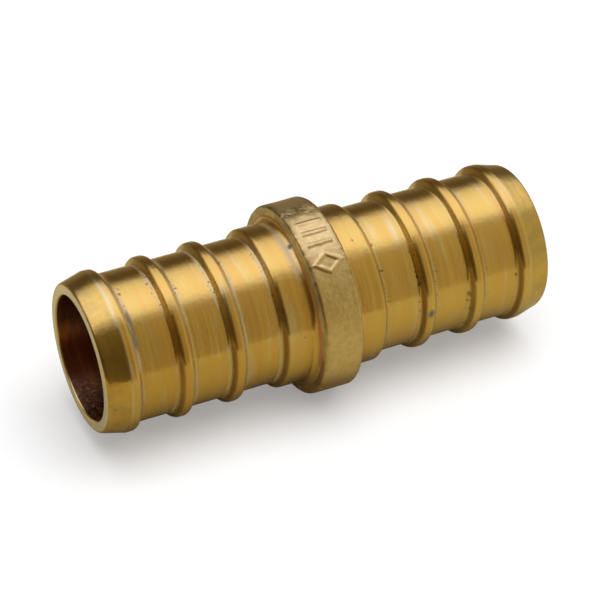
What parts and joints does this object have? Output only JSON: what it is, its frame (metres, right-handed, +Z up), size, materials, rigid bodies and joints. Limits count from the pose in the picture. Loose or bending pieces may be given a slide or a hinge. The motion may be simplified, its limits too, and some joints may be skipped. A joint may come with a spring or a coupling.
{
  "type": "barbed pipe coupling",
  "caption": "Straight brass insert coupling with a barbed spigot on each side of a central stop collar and a plain through bore.",
  "frame": {"origin": "on the axis of the bore, midway between the two end faces and in the middle of the stop collar", "axes": "+X along the bore, out of the right spigot; +Z up; the object is symmetric about X"},
  "size_m": [0.0356, 0.0144, 0.0144],
  "materials": {
    "turned_brass": "bright turned brass with fine rings of tool marks",
    "forged_brass": "as-forged brass, matt and slightly sandy, with softly rounded corners"
  },
  "bodies": {
    "root": {"left_barbed_spigot": "turned_brass", "stop_collar": "forged_brass", "right_barbed_spigot": "turned_brass"}
  },
  "joints": []
}
